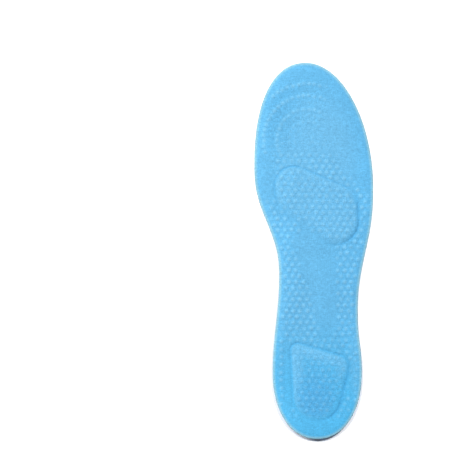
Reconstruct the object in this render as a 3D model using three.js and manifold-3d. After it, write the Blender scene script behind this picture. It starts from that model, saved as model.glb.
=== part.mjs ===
// Cushioned insole for a right shoe. Millimetres, +Z up towards the foot, +Y towards the toe,
// -X towards the arch. It is a bonded stack: a moulded gel base with two windows, a softer pad
// standing in each window, a thin bonding film over them all and a brushed cloth on top.
import * as THREE from 'three';
import { mergeVertices } from 'three/addons/utils/BufferGeometryUtils.js';
import Module from 'manifold-3d';

const wasm = await Module();
wasm.setup();

// Outline. Stations are measured along Y from the back of the heel.
const LENGTH = 279;
const BALL_WIDTH = 88;
const WAIST_WIDTH = 58;
const HEEL_WIDTH = 66;
const HEEL_STATION = 50;
const INNER_WAIST_STATION = 119;
const OUTER_WAIST_STATION = 90;
const INNER_BALL_STATION = 203;
const OUTER_BALL_STATION = 187;
const HEEL_OFFSET = 2.4; // the heel's middle lies this far to the outside
const WAIST_OFFSET = 3.4;
const TOE_OFFSET = -5.6; // the toe's tip lies this far to the inside
const HEEL_FULLNESS = 2.15; // 2 is an ellipse, more is squarer
const INNER_TOE_FULLNESS = 2.3;
const OUTER_TOE_FULLNESS = 1.93;

// Thickness of the gel, and how its top is shaped.
const FOREFOOT_GEL = 2.6;
const HEEL_GEL = 4.2;
const TAPER_START = 90;
const TAPER_LENGTH = 80;
const CUP_RISE = 3;
const CUP_FULL_STATION = 45;
const CUP_FADE = 75;
const CUP_FLOOR = 0.55; // share of the half-width that stays flat in the cup
const ARCH_RISE = 1.4;
const ARCH_STATION = 115;
const ARCH_REACH = 60;
const EDGE_DROP = 0.8;

// Layers above the gel.
const BOND_GAP = 0.1;
const FILM = 0.2;
const CLOTH = 0.9;

// The two soft pads. Each outline is a belt pulled round circles [x, y, radius], in
// anticlockwise order, about the pad's own centre.
const PAD_CLEARANCE = 0.3;
const PAD_CROWN = 1;
const PAD_SHOULDER = 11;
const BALL_PAD = {
  centre: [1, 174],
  circles: [[-15.8, 13.4, 14.5], [-14.4, 5.2, 14.8], [14.2, -11.9, 18.2], [16.1, -1.5, 15.6]],
};
const HEEL_PAD = {
  centre: [2.2, 42],
  circles: [[-14.1, 23.3, 5.6], [0, -10.5, 18], [14.5, 11.1, 9.3]],
};

// Grid: steps along the heel's curve, the straight middle and the toe's curve, and across.
const HEEL_STEPS = 9;
const MIDDLE_STEPS = 20;
const TOE_STEPS = 12;
const CROSS_STEPS = 14;
const ARC_STEPS = 6;

const { smoothstep, smootherstep, lerp } = THREE.MathUtils;

// How far across a superelliptic end reaches, 0 to 1, at a share of its length.
function endShare(along, fullness) {
  return Math.pow(Math.max(0, 1 - Math.pow(along, fullness)), 1 / fullness);
}

function centreLine(y) {
  return lerp(HEEL_OFFSET, TOE_OFFSET, smoothstep(y, HEEL_STATION, OUTER_BALL_STATION));
}

// The edge's X at a station, for the inner (-1) or the outer (1) side.
function edgeX(y, side) {
  const ball = side * BALL_WIDTH / 2;
  const waist = WAIST_OFFSET + side * WAIST_WIDTH / 2;
  const heel = HEEL_OFFSET + side * HEEL_WIDTH / 2;
  const waistStation = side < 0 ? INNER_WAIST_STATION : OUTER_WAIST_STATION;
  const ballStation = side < 0 ? INNER_BALL_STATION : OUTER_BALL_STATION;
  if (y <= HEEL_STATION) {
    return lerp(HEEL_OFFSET, heel, endShare((HEEL_STATION - y) / HEEL_STATION, HEEL_FULLNESS));
  }
  if (y <= waistStation) {
    return lerp(heel, waist, smoothstep(y, HEEL_STATION, waistStation));
  }
  if (y <= ballStation) {
    return lerp(waist, ball, smootherstep(y, waistStation, ballStation));
  }
  const fullness = side < 0 ? INNER_TOE_FULLNESS : OUTER_TOE_FULLNESS;
  const along = (y - ballStation) / (LENGTH - ballStation);
  return lerp(TOE_OFFSET, ball, endShare(along, fullness));
}

// 0 on the centre line and 1 on the outline, following the round heel and toe.
function edgeShare(x, y) {
  const side = x < centreLine(y) ? -1 : 1;
  const ballStation = side < 0 ? INNER_BALL_STATION : OUTER_BALL_STATION;
  let centre = centreLine(y);
  let halfWidth = Math.abs(edgeX(y, side) - centre);
  let along = 0;
  let fullness = 1;
  if (y < HEEL_STATION) {
    centre = HEEL_OFFSET;
    halfWidth = HEEL_WIDTH / 2;
    along = (HEEL_STATION - y) / HEEL_STATION;
    fullness = HEEL_FULLNESS;
  } else if (y > ballStation) {
    halfWidth = Math.abs(side * BALL_WIDTH / 2 - TOE_OFFSET);
    along = (y - ballStation) / (LENGTH - ballStation);
    fullness = side < 0 ? INNER_TOE_FULLNESS : OUTER_TOE_FULLNESS;
  }
  const across = Math.abs(x - centre) / halfWidth;
  return Math.min(1, Math.pow(across ** fullness + along ** fullness, 1 / fullness));
}

// The outline of a pad, or of its window when grown by the clearance.
function padShape(pad, grow) {
  const circles = pad.circles.map(([x, y, radius]) => ({
    centre: new THREE.Vector2(x + pad.centre[0], y + pad.centre[1]),
    radius: radius + grow,
  }));
  const tangents = circles.map((circle, i) => {
    const next = circles[(i + 1) % circles.length];
    const way = next.centre.clone().sub(circle.centre);
    const lean = Math.asin((circle.radius - next.radius) / way.length());
    return way.angle() - Math.PI / 2 + lean;
  });
  const shape = new THREE.Shape();
  circles.forEach(({ centre, radius }, i) => {
    const from = tangents[(i + circles.length - 1) % circles.length];
    shape.absarc(centre.x, centre.y, radius, from, tangents[i], false);
  });
  return shape;
}

// How far a point lies inside a polygon, and 0 outside it.
function depthInside(polygon, x, y) {
  let inside = false;
  let nearest = Infinity;
  polygon.forEach((a, i) => {
    const b = polygon[(i + 1) % polygon.length];
    if ((a.y > y) !== (b.y > y) && x < a.x + (b.x - a.x) * (y - a.y) / (b.y - a.y)) {
      inside = !inside;
    }
    const span = (b.x - a.x) ** 2 + (b.y - a.y) ** 2;
    if (span > 0) {
      const along = ((x - a.x) * (b.x - a.x) + (y - a.y) * (b.y - a.y)) / span;
      const t = THREE.MathUtils.clamp(along, 0, 1);
      const gap = Math.hypot(a.x + t * (b.x - a.x) - x, a.y + t * (b.y - a.y) - y);
      nearest = Math.min(nearest, gap);
    }
  });
  return inside ? nearest : 0;
}

const padOutlines = [BALL_PAD, HEEL_PAD].map((pad) => padShape(pad, 0).getPoints(ARC_STEPS));

function padCrown(x, y) {
  const depth = Math.max(...padOutlines.map((outline) => depthInside(outline, x, y)));
  const share = Math.min(1, depth / PAD_SHOULDER);
  return PAD_CROWN * (1 - (1 - share) ** 2);
}

// The top of the gel and of the pads.
function gelTop(x, y) {
  const share = edgeShare(x, y);
  const taper = smoothstep(y, TAPER_START, TAPER_START + TAPER_LENGTH);
  const cup = 1 - smoothstep(y, CUP_FULL_STATION, CUP_FULL_STATION + CUP_FADE);
  const wall = smoothstep(share, CUP_FLOOR, 1);
  const arch = 1 - smoothstep(Math.abs(y - ARCH_STATION), 0, ARCH_REACH);
  const inner = x < centreLine(y) ? share ** 2 : 0;
  return lerp(HEEL_GEL, FOREFOOT_GEL, taper) + CUP_RISE * cup * wall + ARCH_RISE * arch * inner
    - EDGE_DROP * (1 - cup) * share ** 4 + padCrown(x, y);
}

function stations() {
  const list = [];
  for (let i = 0; i < HEEL_STEPS; i += 1) {
    list.push(HEEL_STATION * (1 - Math.cos(i / HEEL_STEPS * Math.PI / 2)));
  }
  for (let i = 0; i < MIDDLE_STEPS; i += 1) {
    list.push(lerp(HEEL_STATION, OUTER_BALL_STATION, i / MIDDLE_STEPS));
  }
  for (let i = 0; i <= TOE_STEPS; i += 1) {
    const share = Math.sin(i / TOE_STEPS * Math.PI / 2);
    list.push(lerp(OUTER_BALL_STATION, LENGTH, share));
  }
  return list;
}

// A closed solid between two heights over the whole outline, as a merged geometry.
function layer(lower, upper) {
  const rows = stations();
  const columns = CROSS_STEPS + 1;
  const count = rows.length * columns;
  const positions = [];
  for (const height of [lower, upper]) {
    for (const y of rows) {
      const left = edgeX(y, -1);
      const right = edgeX(y, 1);
      for (let j = 0; j < columns; j += 1) {
        const across = Math.sin((j / CROSS_STEPS - 0.5) * Math.PI) / 2 + 0.5;
        const x = lerp(left, right, across);
        positions.push(x, y, height(x, y));
      }
    }
  }
  const faces = [];
  const quad = (a, b, c, d) => faces.push([a, b, c], [a, c, d]);
  for (let i = 0; i < rows.length - 1; i += 1) {
    const first = i * columns;
    const last = first + CROSS_STEPS;
    for (let a = first; a < last; a += 1) {
      const b = a + 1;
      quad(a + count, b + count, b + columns + count, a + columns + count);
      quad(b + columns, b, a, a + columns);
    }
    quad(first, first + count, first + columns + count, first + columns);
    quad(last + columns, last + columns + count, last + count, last);
  }
  const geometry = new THREE.BufferGeometry();
  geometry.setAttribute('position', new THREE.Float32BufferAttribute(positions, 3));
  geometry.setIndex(faces.flat());
  const merged = mergeVertices(geometry, 1e-4);
  const index = merged.getIndex().array;
  const kept = [];
  for (let i = 0; i < index.length; i += 3) {
    const [a, b, c] = index.slice(i, i + 3);
    if (a !== b && b !== c && c !== a) {
      kept.push(a, b, c);
    }
  }
  merged.setIndex(kept);
  return merged;
}

function solidOf(geometry) {
  return new wasm.Manifold(new wasm.Mesh({
    numProp: 3,
    vertProperties: new Float32Array(geometry.getAttribute('position').array),
    triVerts: new Uint32Array(geometry.getIndex().array),
  }));
}

function geometryOf(solid) {
  const mesh = solid.getMesh();
  const geometry = new THREE.BufferGeometry();
  geometry.setAttribute('position', new THREE.BufferAttribute(mesh.vertProperties, 3));
  geometry.setIndex(new THREE.BufferAttribute(mesh.triVerts, 1));
  return geometry;
}

// An upright prism of a pad's outline, reaching past the gel's underside and top.
function padPrism(pad, grow) {
  const reach = HEEL_GEL + FOREFOOT_GEL + CUP_RISE + PAD_CROWN;
  const geometry = new THREE.ExtrudeGeometry(padShape(pad, grow), {
    depth: 3 * reach,
    bevelEnabled: false,
    curveSegments: ARC_STEPS,
  });
  geometry.deleteAttribute('normal');
  geometry.deleteAttribute('uv');
  geometry.translate(0, 0, -reach);
  return solidOf(mergeVertices(geometry, 1e-4));
}

function addPiece(name, geometry, color, roughness) {
  const material = new THREE.MeshStandardMaterial({ color, roughness, metalness: 0 });
  geometry.computeVertexNormals();
  const mesh = new THREE.Mesh(geometry, material);
  mesh.name = name;
  mesh.position.y = -LENGTH / 2;
  insole.add(mesh);
}

const insole = new THREE.Group();
const gel = solidOf(layer(() => 0, gelTop));
const windows = padPrism(BALL_PAD, PAD_CLEARANCE).add(padPrism(HEEL_PAD, PAD_CLEARANCE));
const filmFoot = BOND_GAP;
const filmTop = filmFoot + FILM;
const clothFoot = filmTop + BOND_GAP;
const clothTop = clothFoot + CLOTH;
const raised = (lift) => (x, y) => gelTop(x, y) + lift;

addPiece('gel_base', geometryOf(gel.subtract(windows)), 0x1c6fb4, 0.25);
addPiece('ball_pad', geometryOf(gel.intersect(padPrism(BALL_PAD, 0))), 0x4d9fd6, 0.3);
addPiece('heel_pad', geometryOf(gel.intersect(padPrism(HEEL_PAD, 0))), 0x4d9fd6, 0.3);
addPiece('adhesive_film', layer(raised(filmFoot), raised(filmTop)), 0xdfe6ea, 0.5);
addPiece('top_cloth', layer(raised(clothFoot), raised(clothTop)), 0x71c1ee, 0.95);

export default insole;
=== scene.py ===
import math

import bpy
import numpy as np
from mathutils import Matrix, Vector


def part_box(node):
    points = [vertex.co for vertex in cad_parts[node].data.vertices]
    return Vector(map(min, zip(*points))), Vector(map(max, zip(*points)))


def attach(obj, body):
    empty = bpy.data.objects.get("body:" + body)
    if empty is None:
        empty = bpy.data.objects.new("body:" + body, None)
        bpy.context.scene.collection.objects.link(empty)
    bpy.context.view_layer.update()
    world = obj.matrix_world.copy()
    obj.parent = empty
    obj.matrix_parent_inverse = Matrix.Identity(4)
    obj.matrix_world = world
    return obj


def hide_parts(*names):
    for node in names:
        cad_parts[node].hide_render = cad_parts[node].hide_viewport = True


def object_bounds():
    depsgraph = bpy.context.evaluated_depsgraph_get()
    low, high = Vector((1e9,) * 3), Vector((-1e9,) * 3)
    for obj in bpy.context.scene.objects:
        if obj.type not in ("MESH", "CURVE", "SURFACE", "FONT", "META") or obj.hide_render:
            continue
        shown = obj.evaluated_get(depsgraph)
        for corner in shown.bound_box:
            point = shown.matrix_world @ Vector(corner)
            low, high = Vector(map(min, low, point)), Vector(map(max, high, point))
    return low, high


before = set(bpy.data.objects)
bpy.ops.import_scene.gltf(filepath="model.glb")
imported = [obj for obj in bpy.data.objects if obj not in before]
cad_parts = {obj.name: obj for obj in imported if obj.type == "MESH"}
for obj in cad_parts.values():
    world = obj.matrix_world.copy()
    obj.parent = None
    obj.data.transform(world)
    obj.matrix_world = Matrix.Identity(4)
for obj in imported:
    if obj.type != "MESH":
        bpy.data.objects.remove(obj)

# A cushioned insole for a right shoe: a moulded gel bed with a softer cushion in each of its
# two windows, a bonding film and a brushed cloth pressed over the moulded dots.
# Lengths are in millimetres up to the meshes, which are in metres. Y runs from the back of
# the heel in these functions, and the meshes move it to the frame's own middle.
CAD_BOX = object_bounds()
MM = 0.001
LOW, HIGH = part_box("top_cloth")
LENGTH = (HIGH[1] - LOW[1]) / MM
HEEL_BACK = LOW[1] / MM

# Outline, as in the CAD model.
BALL_WIDTH = 88
WAIST_WIDTH = 58
HEEL_WIDTH = 66
HEEL_STATION = 50
INNER_WAIST_STATION = 119
OUTER_WAIST_STATION = 90
INNER_BALL_STATION = 203
OUTER_BALL_STATION = 187
HEEL_OFFSET = 2.4
WAIST_OFFSET = 3.4
TOE_OFFSET = -5.6
HEEL_FULLNESS = 2.15
INNER_TOE_FULLNESS = 2.3
OUTER_TOE_FULLNESS = 1.93

# Gel thickness and the shape of its top, as in the CAD model.
FOREFOOT_GEL = 2.6
HEEL_GEL = 4.2
TAPER_START = 90
TAPER_LENGTH = 80
CUP_RISE = 3
CUP_FULL_STATION = 45
CUP_FADE = 75
CUP_FLOOR = 0.55
ARCH_RISE = 1.4
ARCH_STATION = 115
ARCH_REACH = 60
EDGE_DROP = 0.8
BOND_GAP = 0.1
FILM = 0.2
CLOTH = 0.9
FILM_FOOT = BOND_GAP
FILM_TOP = FILM_FOOT + FILM
CLOTH_FOOT = FILM_TOP + BOND_GAP
CLOTH_TOP = CLOTH_FOOT + CLOTH

# Cushions: belts round circles (x, y, radius) about the cushion's own centre.
CUSHION_CLEARANCE = 0.3
BALL_CUSHION = (
    (1, 174),
    ((-15.8, 13.4, 14.5), (-14.4, 5.2, 14.8), (14.2, -11.9, 18.2), (16.1, -1.5, 15.6)),
)
HEEL_CUSHION = (
    (2.2, 42),
    ((-14.1, 23.3, 5.6), (0, -10.5, 18), (14.5, 11.1, 9.3)),
)
CUSHIONS = (BALL_CUSHION, HEEL_CUSHION)
FLANK = 3.0  # how far in from its outline a cushion climbs
FLANK_RISE = 0.5
CROWN = 0.5  # what it still rises to its middle
CROWN_REACH = 14
FLANK_START = -0.4  # depth inside the outline where the climb starts
CREASE_DEPTH = 0.62
CREASE_WIDTH = 0.75
CREASE_OUTSIDE = 0.3  # how far outside the cushion's outline the crease runs
SHOULDER_DEPTH = 2.0  # how far inside it the painted highlight runs along the edge
SHOULDER_WIDTH = 1.1
# What differs round a cushion, by the direction its edge faces: degrees from the outer side.
FACING = (-180, -135, -90, -45, 0, 45, 90, 135, 180)
CREASE_PULL = (0.6, 0.05, 0.45, 0.8, 0.8, 0.25, 0.85, 0.6, 0.6)  # how deep the crease is drawn
FLANK_SHARE = (1.0, 3.0, 1.6, 1.0, 1.0, 1.6, 1.0, 1.0, 1.0)  # how much longer the flank is
SHOULDER_HIGHLIGHT = (1.0, 0.3, 0.2, 0.2, 0.2, 0.5, 0.9, 1.0, 1.0)  # how strong the painted highlight is, strongest where the edge faces the light
# Painted shade on the flank that faces outwards and back, away from the light.
SHADED_FLANK_TURN = math.radians(18)
SHADED_FLANK_FACING = (0.45, 0.95)
SHADED_FLANK_DEPTH = 0.5
SHADED_FLANK_WIDTH = 1.9
SHADED_FLANK_STRENGTH = 0.55

# Moulded dots of the top: staggered rows, and rings under the toes. A pair is where something
# fades in or out: the place where it starts to, and the place where it has.
DOT_PITCH = 5.153
DOT_ROW = 4.277
DOT_X = 1.6
DOT_Y = 150.5
DOT_RADIUS = 2.3
DOT_HEIGHT = 0.5
FIRST_ROWS = (11, 22)
LAST_ROW = 214  # the straight rows stop at this station
ROW_RIM = (2.4, 4.4)
ROW_CREASE = (0.8, 2.4)
HEEL_ROWS_WEAKER = 0.65
HEEL_ROWS_END = (60, 100)
UNDER_TOES = (207, 216)
OUTER_FOREFOOT_X = (15, 19)
OUTER_FOREFOOT = (197, 204)
OUTER_FOREFOOT_SLANT = 0.85
INNER_BALL_X = (27, 31)
INNER_BALL = (172, 180)
LEAN_START = 170  # back from here the rows shift outwards
LEAN_LENGTH = 145
LEAN_SHIFT = 3.0
HEEL_ROW_SHIFT = 0.8  # and the heel's rows lie this much further back
CUSHION_DOT_SHARE = 0.85  # dots on a cushion are this share of the others
DOT_SCATTER = 0.22
DOT_SPREAD = (0.6, 1.2)  # shares of DOT_HEIGHT between which the dots vary
DOT_HALO = 0.36  # how dotted the cloth counts as round one dot
LEAST_DOT = 0.03
DOT_SEED = 7
RING_CENTRE = (-5, 222)
# Radius and strength of each ring, and the least strength that also has a soft ridge under it.
RINGS = (
    (41.5, 1.0), (32.5, 1.0), (27.3, 0.35), (22.5, 0.8),
    (18, 0.4), (13.5, 0.6), (9, 0.4), (4.5, 0.5),
)
RIDGED = 0.7
RING_RIDGE = 0.15
RIDGE_WIDTH = 2.0
RING_DOT_PITCH = 4.1
RING_DOT_RADIUS = 2.1
RING_DOT_SHARE = 0.88
RING_DOT_RIM = (3.2, 5.2)
LEAST_RING_DOT = 0.04
RING_SPAN = 115  # degrees each way from straight ahead
SIDE_DOTS = ((-24.3, 26), (30.9, 29))  # X and first station of the column on each side of the heel
SIDE_DOT_END = 76
SIDE_DOT_PITCH = 5.8
SIDE_DOT_SHARE = 0.7
SIDE_FREE_X = (-18.5, 27)  # the heel's rows keep between these, back from the next station
SIDE_FREE_END = 74

# The smooth band along the waist: stations, its middle and its half width there.
BAND_STATIONS = (75, 85, 105, 125, 143, 153)
BAND_MIDDLE = (10, 10, 7.3, 3.3, 0.5, -7)
BAND_HALF = (5, 6.5, 9, 12.5, 16.5, 10)
BAND_START = (70, 80)
BAND_END = (148, 158)

# Where the foot has brushed the nap up, and the painted highlight on the heel's outer wall, which
# faces the light: strength, then an oval's centre, half axes and softness.
FOREFOOT_RUB = (0.8, (2, 208), (28, 44), 0.4)
INNER_WAIST_RUB = (0.3, (-6, 118), (12, 60), 0.5)
OUTER_WAIST_RUB = (0.2, (16, 120), (10, 50), 0.5)
HEEL_WALL_HIGHLIGHT = (0.5, (33, 55), (7, 28), 0.5)
# Painted highlight on the inner side of the waist, where the light falls, a lighter patch at the
# outer side of the ball, and the painted shade of the heel's seat.
INNER_WAIST_HIGHLIGHT = (0.6, (-24, 120), (14, 55), 0.5)
OUTER_BALL_LIGHTER = (0.6, (39, 178), (9, 32), 0.5)
SEAT_SHADE_OVAL = (1.0, (1, 28), (14, 20), 0.7)

# The top rolls off a little along the whole edge.
ROLL_DROP = 0.8
ROLL_REACH = 6.5

# The cloth's cut edge and nap.
CLOTH_ROUND = 0.45  # radius of the cut edge
CLOTH_WALL_LOOPS = 4
CLOTH_BULGE = 0.10
CUT_UNEVEN = 0.03
CUT_SEED = 11
CUT_REACH = 1.6  # how far in from the cut the pale fibres and their painted highlight show
NAP = 0.035
NAP_SEED = 5

# The gel's wall and moulded underside.
FOOT_ROUND = 0.9  # radius of the lower edge
GEL_WALL_LOOPS = 8
GEL_WALL_HOLLOW = 0.16
CUTTER_REACH = 20
CUTTER_STEPS = 26
CELL_PITCH = 3.9
CELL_RADIUS = 1.45
CELL_DEPTH = 1.1
CELL_RINGS = (3.9, 7.8)  # distances of the two rings of cells from the outline
CELL_END = 118  # the cells run round the heel up to this station
RIB_WAVES = 4.5
RIB_DEPTH = 0.85
RIB_REACH = (0.5, 0.58)  # shares of the half width
RIB_START = (70, 82)
RIB_END = (140, 154)
POCKET_RADIUS = 1.35
POCKET_DEPTH = 0.7
POCKET_START = 76
POCKET_TOE_GAP = 46
POCKET_RIM_GAP = 4.5
POCKET_RIB_SHARE = 0.62  # the pockets keep outside this share of the half width
POCKET_RIB_END = 152  # up to this station
POCKET_CELL_GAP = 9.5  # and this far from the outline
POCKET_CELL_END = 124  # up to this one
TRIM_START = (66, 54)  # distances from the toe's tip
TRIM_LINES = (6, 12, 18, 24)  # distances from the toe's outline
TRIM_WIDTH = 0.55
TRIM_DEPTH = 0.35
CUSHION_RING_PITCHES = (6.2, 5.4)  # under the ball and under the heel
CUSHION_RING_START = 1.6
CUSHION_RING_DEPTH = 0.9

# Mesh steps.
ROW_STEP = 0.6
COLUMNS = 138
TIP_RAMP = 12
EDGE_RAMP = 6


def smooth(value, low, high):
    """0 below low and 1 above high, with an eased step between them."""
    t = np.clip((value - low) / (high - low), 0, 1)
    return t * t * (3 - 2 * t)


def smoother(value, low, high):
    """The same step, eased more gently at both ends."""
    t = np.clip((value - low) / (high - low), 0, 1)
    return t * t * t * (t * (6 * t - 15) + 10)


def mix(a, b, share):
    """From a at share 0 to b at share 1."""
    return a + (b - a) * share


# ---------------------------------------------------------------- outline and height fields

def end_share(along, fullness):
    """How far across a superelliptic end reaches, 0 to 1, at a share of its length."""
    return np.maximum(0, 1 - np.clip(along, 0, 1) ** fullness) ** (1 / fullness)


def edge_x(y, side):
    """The edge's X at stations y, for the inner (-1) or the outer (1) side."""
    ball = side * BALL_WIDTH / 2
    waist = WAIST_OFFSET + side * WAIST_WIDTH / 2
    heel = HEEL_OFFSET + side * HEEL_WIDTH / 2
    waist_station = INNER_WAIST_STATION if side < 0 else OUTER_WAIST_STATION
    ball_station = INNER_BALL_STATION if side < 0 else OUTER_BALL_STATION
    fullness = INNER_TOE_FULLNESS if side < 0 else OUTER_TOE_FULLNESS
    round_heel = mix(HEEL_OFFSET, heel, end_share((HEEL_STATION - y) / HEEL_STATION, HEEL_FULLNESS))
    to_waist = mix(heel, waist, smooth(y, HEEL_STATION, waist_station))
    to_ball = mix(waist, ball, smoother(y, waist_station, ball_station))
    toe = mix(TOE_OFFSET, ball, end_share((y - ball_station) / (LENGTH - ball_station), fullness))
    stretches = [y <= HEEL_STATION, y <= waist_station, y <= ball_station]
    return np.select(stretches, [round_heel, to_waist, to_ball], toe)


def centre_line(y):
    """The X of the line that the thickness is measured out from."""
    return mix(HEEL_OFFSET, TOE_OFFSET, smooth(y, HEEL_STATION, OUTER_BALL_STATION))


def across_share(x, y):
    """0 on the centre line, 1 on the outer edge, and negative towards the inner edge."""
    return (x - centre_line(y)) / np.maximum(edge_x(y, 1) - centre_line(y), 1)


def edge_share(x, y):
    """0 on the centre line and 1 on the outline, following the round heel and toe."""
    inner = x < centre_line(y)
    ball_station = np.where(inner, INNER_BALL_STATION, OUTER_BALL_STATION)
    toe_half = np.where(inner, TOE_OFFSET + BALL_WIDTH / 2, BALL_WIDTH / 2 - TOE_OFFSET)
    toe_fullness = np.where(inner, INNER_TOE_FULLNESS, OUTER_TOE_FULLNESS)
    half = np.abs(np.where(inner, edge_x(y, -1), edge_x(y, 1)) - centre_line(y))
    heel = (np.abs(x - HEEL_OFFSET) / (HEEL_WIDTH / 2)) ** HEEL_FULLNESS
    heel = heel + np.clip((HEEL_STATION - y) / HEEL_STATION, 0, 1) ** HEEL_FULLNESS
    toe = (np.abs(x - TOE_OFFSET) / toe_half) ** toe_fullness
    toe = toe + np.clip((y - ball_station) / (LENGTH - ball_station), 0, 1) ** toe_fullness
    middle = np.abs(x - centre_line(y)) / np.maximum(half, 1e-6)
    at_end = [y < HEEL_STATION, y > ball_station]
    rounded = [heel ** (1 / HEEL_FULLNESS), toe ** (1 / toe_fullness)]
    return np.clip(np.select(at_end, rounded, middle), 0, 1)


def gel_height(x, y):
    """The gel's top without dots and cushions: thick and cupped at the heel, falling to its edge."""
    share = edge_share(x, y)
    taper = smooth(y, TAPER_START, TAPER_START + TAPER_LENGTH)
    cup = 1 - smooth(y, CUP_FULL_STATION, CUP_FULL_STATION + CUP_FADE)
    wall = smooth(share, CUP_FLOOR, 1)
    arch = 1 - smooth(np.abs(y - ARCH_STATION), 0, ARCH_REACH)
    inner = np.where(x < centre_line(y), share ** 2, 0)
    flat = mix(HEEL_GEL, FOREFOOT_GEL, taper) + CUP_RISE * cup * wall + ARCH_RISE * arch * inner
    return flat - EDGE_DROP * (1 - cup) * share ** 4


def outline_loop(step=0.5):
    """The insole's outline, anticlockwise from the back of the heel."""
    stations = ramped(LENGTH, step, TIP_RAMP)
    right = np.column_stack([edge_x(stations, 1), stations])
    left = np.column_stack([edge_x(stations, -1), stations])
    return np.vstack([right, left[-2:0:-1]])


def ramped(length, step, ramp):
    """Stations from 0 to length, a step apart but closing up towards both ends."""
    steps = 2 * round((length + ramp) / step / 2)
    s = np.linspace(0, length + ramp, steps + 1)
    near = np.minimum(s, length + ramp - s)
    part = np.where(near < ramp, near * near / (2 * ramp), near - ramp / 2)
    return np.where(s < (length + ramp) / 2, part, length - part)


def cushion_loop(cushion, grow=0.0, steps=14):
    """A cushion's outline: arcs on its circles, joined by the belt's straight runs."""
    (cx, cy), circles = cushion
    circles = [(cx + x, cy + y, radius + grow) for x, y, radius in circles]
    turns = []
    for (x, y, radius), (nx, ny, next_radius) in zip(circles, circles[1:] + circles[:1]):
        lean = math.asin((radius - next_radius) / math.hypot(nx - x, ny - y))
        turns.append(math.atan2(ny - y, nx - x) - math.pi / 2 + lean)
    points = []
    for i, (x, y, radius) in enumerate(circles):
        start, stop = turns[i - 1], turns[i]
        while stop < start:
            stop += 2 * math.pi
        while stop > start + 2 * math.pi:
            stop -= 2 * math.pi
        angles = np.linspace(start, stop, steps)
        points.append(np.column_stack([x + radius * np.cos(angles), y + radius * np.sin(angles)]))
    return np.vstack(points)


def distance_to_loop(x, y, loop):
    """Distance from each point to a closed loop, and the nearest point's place on it."""
    a, b = loop, np.roll(loop, -1, axis=0)
    way = b - a
    span = np.maximum((way ** 2).sum(axis=1), 1e-12)
    points = np.column_stack([np.ravel(x), np.ravel(y)])
    found = np.empty(len(points))
    where = np.empty((len(points), 2))
    for start in range(0, len(points), 2000):
        p = points[start:start + 2000]
        t = np.clip(((p[:, None] - a) * way).sum(axis=2) / span, 0, 1)
        near = a + t[..., None] * way
        gap = ((p[:, None] - near) ** 2).sum(axis=2)
        best = gap.argmin(axis=1)
        found[start:start + 2000] = np.sqrt(gap[np.arange(len(p)), best])
        where[start:start + 2000] = near[np.arange(len(p)), best]
    return found.reshape(np.shape(x)), where.reshape(np.shape(x) + (2,))


def inside_loop(x, y, loop):
    """Whether each point lies inside a closed loop."""
    inside = np.zeros(np.shape(x), bool)
    for (ax, ay), (bx, by) in zip(loop, np.roll(loop, -1, axis=0)):
        if ay != by:
            inside ^= ((ay > y) != (by > y)) & (x < ax + (bx - ax) * (y - ay) / (by - ay))
    return inside


def cushion_depth(x, y, cushion):
    """Signed depth inside a cushion's outline, and the outward direction there as an angle."""
    loop = cushion_loop(cushion)
    gap, near = distance_to_loop(x, y, loop)
    inside = inside_loop(x, y, loop)
    dx, dy = near[..., 0] - x, near[..., 1] - y
    turn = np.where(inside, 1, -1)
    return gap * turn, np.arctan2(dy * turn, dx * turn)


# ---------------------------------------------------------------- moulded dots

def plain_band(x, y):
    """1 in the smooth band that runs from the heel cushion to the ball cushion, else 0."""
    middle = np.interp(y, BAND_STATIONS, BAND_MIDDLE)
    half = np.interp(y, BAND_STATIONS, BAND_HALF)
    across = 1 - smooth(np.abs(x - middle), half - 1.5, half + 2)
    return across * smooth(y, *BAND_START) * (1 - smooth(y, *BAND_END))


def row_fade(x, y, rim, depths):
    """How strongly a dot of the straight rows stands, from 0, smooth, to 1."""
    fade = smooth(y, *FIRST_ROWS) * smooth(rim, *ROW_RIM) * (1 - 0.97 * plain_band(x, y))
    slanted = y + OUTER_FOREFOOT_SLANT * (x - 18)
    outer_forefoot = smooth(x, *OUTER_FOREFOOT_X) * smooth(slanted, *OUTER_FOREFOOT)
    inner_ball = smooth(-x, *INNER_BALL_X) * smooth(y, *INNER_BALL)
    under_toes = 0.75 * smooth(y, *UNDER_TOES)
    fade = fade * (1 - 0.85 * outer_forefoot) * (1 - 0.8 * inner_ball) * (1 - under_toes)
    for depth in depths:
        fade = fade * smooth(np.abs(depth - 0.8), *ROW_CREASE)
    beside_heel_cushion = (y < SIDE_FREE_END) & ((x < SIDE_FREE_X[0]) | (x > SIDE_FREE_X[1]))
    fade = fade * np.where(beside_heel_cushion, 0, 1)
    return fade * mix(HEEL_ROWS_WEAKER, 1.0, smooth(y, *HEEL_ROWS_END))


def lattice(first_row, end_row, first_column, end_column):
    """The staggered places of the moulded dots, counted from one in the midfoot."""
    rows = np.arange(first_row, end_row)
    columns = np.arange(first_column, end_column)
    row, column = np.meshgrid(rows, columns, indexing="ij")
    x = DOT_X + (column + 0.5 * (row % 2)) * DOT_PITCH
    return x.ravel(), (DOT_Y + row * DOT_ROW).ravel()


def row_dots(outline):
    """Staggered rows over the midfoot, the cushions and the heel, drawn outwards in the heel."""
    x, y = lattice(-34, 17, -11, 11)
    x = x + LEAN_SHIFT * (np.maximum(0, LEAN_START - y) / LEAN_LENGTH) ** 1.7
    y = y - HEEL_ROW_SHIFT * (1 - smooth(y, 50, 90))
    inside = inside_loop(x, y, outline) & (y > 8) & (y < LAST_ROW + 8)
    x, y = x[inside], y[inside]
    rim, _ = distance_to_loop(x, y, outline)
    depths = [cushion_depth(x, y, cushion)[0] for cushion in CUSHIONS]
    on_cushion = np.maximum(*depths) > 1.5
    strength = row_fade(x, y, rim, depths) * np.where(on_cushion, CUSHION_DOT_SHARE, 1.0)
    return np.column_stack([x, y, np.full(len(x), DOT_RADIUS), strength])


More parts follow.
